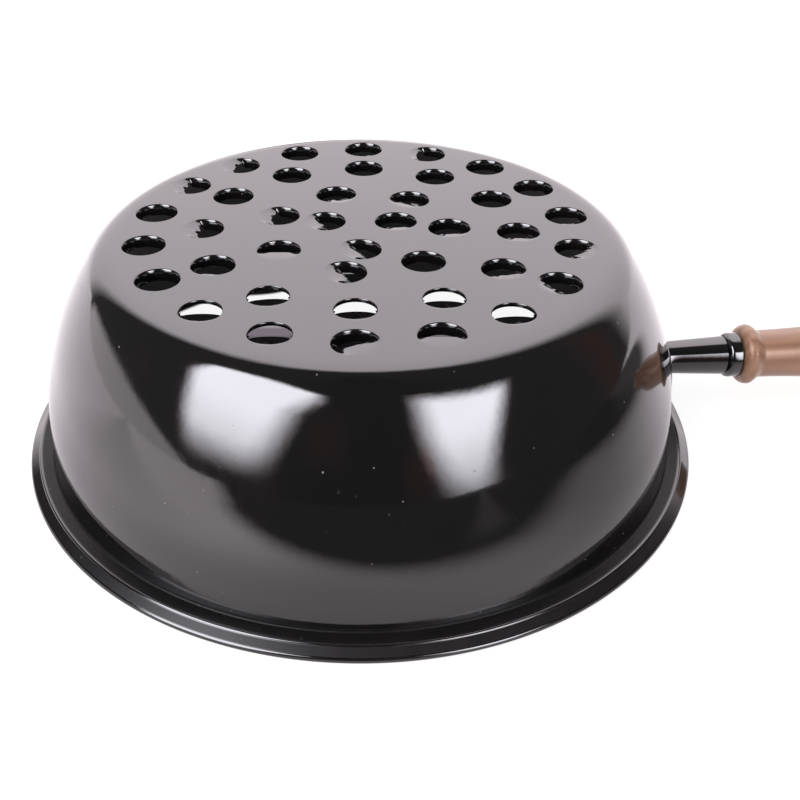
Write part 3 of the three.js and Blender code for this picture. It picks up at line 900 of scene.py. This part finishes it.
# The punched edges. Over the angle a round a hole and t from the flat plate in to the free edge, a
# point runs from the patch's circle P(a) to the opening's outline E(a), as P + (E - P) S(t), while it
# sinks by depth(a) C(t). A drawn lip is a quarter ellipse, S = sin and C = 1 - cos; a flap sets off
# flat and then slopes evenly. E is the bore's circle, pulled across the hole on the flap's side.
# The under face is the same surface moved down its own normals by a thickness that shrinks with t.
def punchedEdges(places, flaps):
    bore, sheet = pan["boreRadius"], pan["sheet"]
    a = np.linspace(0, 2 * np.pi, pan["samples"], endpoint=False)[None, :, None]
    t = np.linspace(0, 1, pan["steps"])[None, None, :]
    reach, tilt, lip, torn, soft = (flaps[:, k][:, None, None] for k in range(1, 6))
    hasFlap = (reach > -bore + 0.05) * 1.0
    # a shallow lip also has a tighter mouth
    opened = (1 - pan["shallowMouth"]) * (lip - pan["shallowLip"]) / pan["lipSpan"]
    outer = bore + pan["mouth"] * np.clip(pan["shallowMouth"] + opened, 0, 1)
    side = np.clip(-np.sin(a) / pan["flapSide"], 0, 1)
    weight = side * side * (3 - 2 * side) * hasFlap
    rng = np.random.default_rng(pan["burrSeed"])
    waves = np.array(pan["burrWaves"])
    phases = rng.uniform(0, 2 * np.pi, (len(places), 1, 1, len(waves)))
    burr = (np.sin(a[..., None] * waves + phases) / np.array(pan["burrFall"])).sum(-1)
    flapSide = np.where(hasFlap > 0, reach, -bore) * np.abs(np.sin(a))
    across = np.where(np.sin(a) >= 0, bore * np.sin(a), flapSide)
    edgeU = bore * np.cos(a) + 0 * outer
    edgeV = across + pan["burrAcross"] * torn * burr * weight
    drop = np.tan(np.radians(tilt)) * (outer + reach * np.abs(np.sin(a)))
    depth = lip * (1 - weight) + (drop + pan["burrDown"] * torn * burr) * weight
    ease = (np.sqrt(t * t + soft * soft) - soft) / (np.sqrt(1 + soft * soft) - soft)
    inwards = (1 - weight) * np.sin(np.pi / 2 * t) + weight * t
    sinks = (1 - weight) * (1 - np.cos(np.pi / 2 * t)) + weight * ease
    u = outer * np.cos(a) * (1 - inwards) + edgeU * inwards
    v = outer * np.sin(a) * (1 - inwards) + edgeV * inwards
    top = np.stack([u, v, -depth * sinks], -1)
    alongT = np.gradient(top, axis=2)
    alongA = np.roll(top, -1, axis=1) - np.roll(top, 1, axis=1)
    normal = np.cross(alongA, alongT)
    normal /= np.maximum(np.linalg.norm(normal, axis=-1, keepdims=True), 1e-9)
    normal *= np.where(normal[:, :, :1, 2:] < 0, -1.0, 1.0)
    thick = (sheet * (1 - t) + pan["thinEdge"] * t)[..., None]
    under = top - thick * normal
    under[:, :, 0, :2] = top[:, :, 0, :2]
    under[:, :, 0, 2] = -sheet
    away = np.linalg.norm(under[..., :2], axis=-1)
    under[..., :2] *= np.minimum(1.0, outer / np.maximum(away, 1e-6))[..., None]
    tip = top[:, :, -1] - top[:, :, -2]
    tip /= np.maximum(np.linalg.norm(tip, axis=-1, keepdims=True), 1e-9)
    middle = (top[:, :, -1] + under[:, :, -1]) / 2 + pan["tipRoll"] * pan["thinEdge"] * tip
    ringRadius = (outer + pan["flatRing"])[..., 0]
    ringU = ringRadius * np.cos(a[..., 0])
    flatRing = np.stack([ringU, ringRadius * np.sin(a[..., 0]), 0 * ringU], -1)
    lowRing = flatRing - [0, 0, sheet]
    ring = np.concatenate(
        [flatRing[:, :, None], top, middle[:, :, None], under[:, :, ::-1], lowRing[:, :, None]], axis=2)
    # from each hole's own directions to the pan's
    turn = np.radians(flaps[:, 0] + pan["viewTurn"] + 90.0)[:, None, None]
    x = ring[..., 0] * np.cos(turn) - ring[..., 1] * np.sin(turn) + places[:, 0][:, None, None]
    y = ring[..., 0] * np.sin(turn) + ring[..., 1] * np.cos(turn) + places[:, 1][:, None, None]
    return np.stack([x, y, ring[..., 2]], -1), ringRadius[:, 0]


# The flat of the base between the holes: the triangles among the circles' points whose middles lie
# outside every circle, at both faces.
def plateBetween(outline, circles, places, patch):
    loops = [outline] + list(circles)
    points = np.concatenate(loops)
    edges, start = [], 0
    for loop in loops:
        index = np.arange(len(loop))
        edges += np.column_stack([start + index, start + (index + 1) % len(loop)]).tolist()
        start += len(loop)
    found = delaunay_2d_cdt([Vector(p) for p in points.tolist()], edges, [], 0, 1e-7)
    corners = np.array(found[0])
    triangles = np.array(found[2])
    middles = corners[triangles].mean(1)
    away = np.linalg.norm(middles[:, None] - places[None], axis=-1)
    triangles = triangles[(away > patch[None] * 0.995).all(1)]
    flat = np.column_stack([corners, np.zeros(len(corners))])
    return (flat, triangles), (flat - [0, 0, pan["sheet"]], triangles[:, ::-1])


# The pan: its section turned about its axis, the punched edges in place, and the plate between them.
def makePan():
    wall = turnedUp(sheetSection(), pan["sides"])
    places, flaps = holeTable()
    edges, patch = punchedEdges(places, flaps)
    holes, samples, depth = edges.shape[:3]
    quads = gridQuads(samples, depth, closeRows=True)
    allQuads = (quads[None] + (np.arange(holes) * samples * depth)[:, None, None]).reshape(-1, 4)
    upper, lower = plateBetween(wall[:, 0, :2], edges[:, :, 0, :2], places, patch)
    piece = shellPiece(
        "panShell",
        [(wall, gridQuads(*wall.shape[:2], closeRows=True)), (edges, allQuads), upper, lower],
        enamel, sharpDegrees=50.0)
    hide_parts("pan")
    print("starter pan: pan shell,", len(piece.data.polygons), "faces")


makePan()

handleAxis = -46.5             # height of the handle's axis
seatGap = 0.3                  # between pieces that are welded or clamped
rodRadius = 2.0
boreRadius = rodRadius + seatGap

saddle = {"width": 36.0, "height": 22.0, "thickness": 1.5, "squareness": 0.55, "edgeFall": 3.5}
saddleFace = seatGap + saddle["thickness"]


# How far along X the surface lies that stands a given way off the wall, at y and z: the root of the wall's
# radius there squared less y squared.
def offWall(y, z, outwards):
    return np.sqrt(wallRadiusAt(z, outwards) ** 2 - y * y)


# The saddle: over the angle a and q from the middle to the edge, y and z follow a squared-off ellipse,
# and the plate stands off the wall by its seat plus its thickness, rounded off near its edge.
def makeSaddle():
    a = np.linspace(0, 2 * np.pi, 96, endpoint=False)[:, None]
    q = np.sin(np.linspace(0, np.pi / 2, 16))[None]
    power = saddle["squareness"]
    y = saddle["width"] / 2 * q * np.sign(np.cos(a)) * np.abs(np.cos(a)) ** power
    z = handleAxis + saddle["height"] / 2 * q * np.sign(np.sin(a)) * np.abs(np.sin(a)) ** power
    rise = seatGap + saddle["thickness"] * np.sqrt(np.clip(1 - q ** saddle["edgeFall"], 0, 1)) + 0 * a
    front = np.stack([offWall(y, z, rise), y, z], -1)
    back = np.stack([offWall(y, z, seatGap), y, z], -1)
    grid = np.concatenate([front, back[:, ::-1]], axis=1)
    piece = gridPiece("saddlePlate", grid, enamel, closeColumns=False)
    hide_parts("handle_saddle")


stem = {
    "length": 18.4, "rootRadius": 4.9, "mouthRadius": 5.95, "wall": 1.2, "sides": 96,
    "weld": 1.1, "weldFall": 0.7, "sunk": 0.2, "lipRound": 0.15,
}
stemRootX = float(wallRadiusAt(handleAxis, saddleFace))
mouthX = stemRootX + seatGap + stem["length"]


# The stem: a cone along the handle's axis whose root follows the saddle's face. Its radius swells at
# the root by a bead of weld, as weld * exp(-distance / weldFall).
def makeStem():
    a = np.linspace(0, 2 * np.pi, stem["sides"], endpoint=False)[:, None]
    s = np.concatenate([np.linspace(0, 0.12, 9), np.linspace(0.16, 1, 14)])[None]
    cone = stem["rootRadius"] + (stem["mouthRadius"] - stem["rootRadius"]) * s
    swell = stem["weld"] * np.exp(-s * stem["length"] / stem["weldFall"])
    rootRadius = cone[:, :1]
    rootX = offWall(
        rootRadius * np.cos(a), handleAxis + rootRadius * np.sin(a), saddleFace - stem["sunk"])
    x = rootX + (mouthX - rootX) * s
    r = cone + swell + 0 * a
    outer = np.stack([x, r * np.cos(a), handleAxis + r * np.sin(a)], -1)
    bore = r - swell - stem["wall"]
    inner = np.stack([x, bore * np.cos(a), handleAxis + bore * np.sin(a)], -1)
    lip = (outer[:, -1:] + inner[:, -1:]) / 2 + [stem["lipRound"], 0, 0]
    grid = np.concatenate([outer, lip, inner[:, ::-1]], axis=1)
    piece = gridPiece("stemTube", grid, enamel)
    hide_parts("handle_stem")


ferrule = {"radius": 6.85, "length": 4.4, "wall": 1.1, "rounding": 1.6, "insideChamfer": 0.4, "sides": 96}
ferruleX = mouthX + seatGap
shoulderX = ferruleX + ferrule["length"] + seatGap


# The ferrule: a turned cup. Its profile is a closed loop of (radius, distance).
def makeFerrule():
    radius, wall, rounding = ferrule["radius"], ferrule["wall"], ferrule["rounding"]
    inside, chamfer, floorX = radius - wall, ferrule["insideChamfer"], ferruleX + wall
    rimX = ferruleX + ferrule["length"]
    shoulder = arcPoints((radius - rounding, ferruleX + rounding), rounding, -90, 0, 12)
    lip = arcPoints((radius - wall / 2, rimX - wall / 2), wall / 2, 0, 180, 9)
    profile = np.concatenate([
        [(boreRadius, ferruleX)], shoulder, lip,
        [(inside, floorX + chamfer), (inside - chamfer, floorX), (boreRadius, floorX)],
    ])
    grid = turnedOut(profile, ferrule["sides"], handleAxis)
    piece = gridPiece("ferruleCup", grid, enamel)
    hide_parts("grip_ferrule")


grip = {
    "length": 120.0, "shoulderRound": 2.4,
    # crests and hollows: (distance from the shoulder, diameter)
    "marks": [(2.6, 18.4), (6.4, 14.6), (56.0, 20.0), (97.0, 16.4), (112.0, 19.0)],
    "steps": [14, 30, 24, 16], "endFace": 12.0, "sides": 96,
}


# The grip: between two turning marks the radius goes over by half a cosine wave; the shoulder and
# the knob's end are quarter ellipses.
def makeGrip():
    marks = np.array(grip["marks"])
    crestAt, crestR = marks[0, 0], marks[0, 1] / 2
    spigotR = ferrule["radius"] - ferrule["wall"] - seatGap
    spigotX = ferruleX + ferrule["wall"] + seatGap
    a = np.linspace(0, np.pi / 2, 12)
    shoulder = np.column_stack([
        crestR - grip["shoulderRound"] * (1 - np.sin(a)), shoulderX + crestAt * (1 - np.cos(a))])
    spans = []
    for (fromAt, fromD), (toAt, toD), steps in zip(marks[:-1], marks[1:], grip["steps"]):
        along = np.arange(1, steps + 1) / steps
        ease = (1 - np.cos(np.pi * along)) / 2
        spans.append(np.column_stack([
            (fromD + (toD - fromD) * ease) / 2, shoulderX + fromAt + (toAt - fromAt) * along]))
    knobAt, knobR = marks[-1, 0], marks[-1, 1] / 2
    endR = grip["endFace"] / 2
    b = np.linspace(0, np.pi / 2, 14)[1:]
    end = np.column_stack([
        endR + (knobR - endR) * np.cos(b), shoulderX + knobAt + (grip["length"] - knobAt) * np.sin(b)])
    gripEndX = shoulderX + grip["length"]
    profile = np.concatenate([
        [(boreRadius, spigotX), (spigotR, spigotX), (spigotR, shoulderX)],
        shoulder, *spans, end, [(boreRadius, gripEndX)]])
    grid = turnedOut(profile, grip["sides"], handleAxis)
    piece = gridPiece("gripWood", grid, wood)
    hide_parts("wooden_grip")
    return gripEndX


washer = {"radius": 5.5, "thickness": 1.4, "dish": 0.8, "sides": 64}


# The washer: a turned dished plate. Its profile is a closed loop that goes over from the dish to the
# rim by half a cosine wave.
def makeWasher(gripEndX):
    edge, thickness, dish = washer["radius"], washer["thickness"], washer["dish"]
    startX = gripEndX + seatGap
    middle = (edge + boreRadius) / 2
    easing = (1 - np.cos(np.linspace(0, np.pi, 10))) / 2
    radii = middle + dish * easing
    inner = np.column_stack([radii, startX + dish * (1 - easing)])
    rim = arcPoints((edge - thickness / 2, startX + thickness / 2), thickness / 2, -90, 90, 9)
    outer = np.column_stack([radii, startX + thickness + dish * (1 - easing)])[::-1]
    profile = np.concatenate([
        [(boreRadius, startX + dish)], inner, rim, outer, [(boreRadius, startX + thickness + dish)]])
    grid = turnedOut(profile, washer["sides"], handleAxis)
    piece = gridPiece("dishedWasher", grid, steel)
    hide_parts("end_washer")
    return startX + thickness + dish


eyeRod = {
    "bore": 8.0, "gap": 35.0, "plugDepth": 9.0, "sides": 28, "steps": 220,
    "endRound": 0.9, "endShare": 0.35,         # length of the rounding at each end, and the radius it ends on
}


# The rod and its eye: a circle carried along a path that runs straight out and then bends round.
# Its radius shrinks as a quarter circle over the last bit at each end, which closes the ends.
def makeEyeRod(washerEndX):
    bend = eyeRod["bore"] / 2 + rodRadius
    startX = mouthX - eyeRod["plugDepth"] + seatGap
    centreX = washerEndX + seatGap + rodRadius + bend
    straight = np.column_stack([np.linspace(startX, centreX - bend, 40), np.zeros(40)])
    b = np.radians(180 + np.linspace(0, 360 - eyeRod["gap"], 72))
    loop = np.column_stack([centreX + bend * np.cos(b), bend * np.sin(b)])
    # the shank turns into the loop through a short bend
    path = np.concatenate([straight[:-2], loop[2:]])
    stepLength = np.linalg.norm(np.diff(path, axis=0), axis=1)
    along = np.concatenate([[0], np.cumsum(stepLength)])
    even = np.linspace(0, along[-1], eyeRod["steps"])
    path = np.column_stack([np.interp(even, along, path[:, k]) for k in range(2)])
    blur = np.hanning(9) / np.hanning(9).sum()
    padded = np.concatenate([path[:1].repeat(4, 0), path, path[-1:].repeat(4, 0)])
    path = np.column_stack([np.convolve(padded[:, k], blur, "valid") for k in range(2)])
    fromEnd = np.minimum(even, even[-1] - even)
    taper = np.sqrt(np.clip(1 - (1 - np.clip(fromEnd / eyeRod["endRound"], 0, 1)) ** 2, 0, 1))
    heading = np.gradient(path, axis=0)
    heading /= np.linalg.norm(heading, axis=1, keepdims=True)
    c = np.linspace(0, 2 * np.pi, eyeRod["sides"], endpoint=False)[None]
    r = rodRadius * (eyeRod["endShare"] + (1 - eyeRod["endShare"]) * taper)[:, None]
    r[0] = r[-1] = 0
    x = path[:, :1] - heading[:, 1:] * r * np.cos(c)
    y = path[:, 1:] + heading[:, :1] * r * np.cos(c)
    grid = np.stack([x, y, handleAxis + r * np.sin(c)], -1)
    piece = gridPiece("eyeRod", grid, steel, closeRows=False)
    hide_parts("eye_rod")


makeSaddle()
makeStem()
makeFerrule()
gripEnd = makeGrip()
makeEyeRod(makeWasher(gripEnd))
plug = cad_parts["stem_plug"]
plug.data.materials.clear()
plug.data.materials.append(steel)
print("starter pan: handle built")
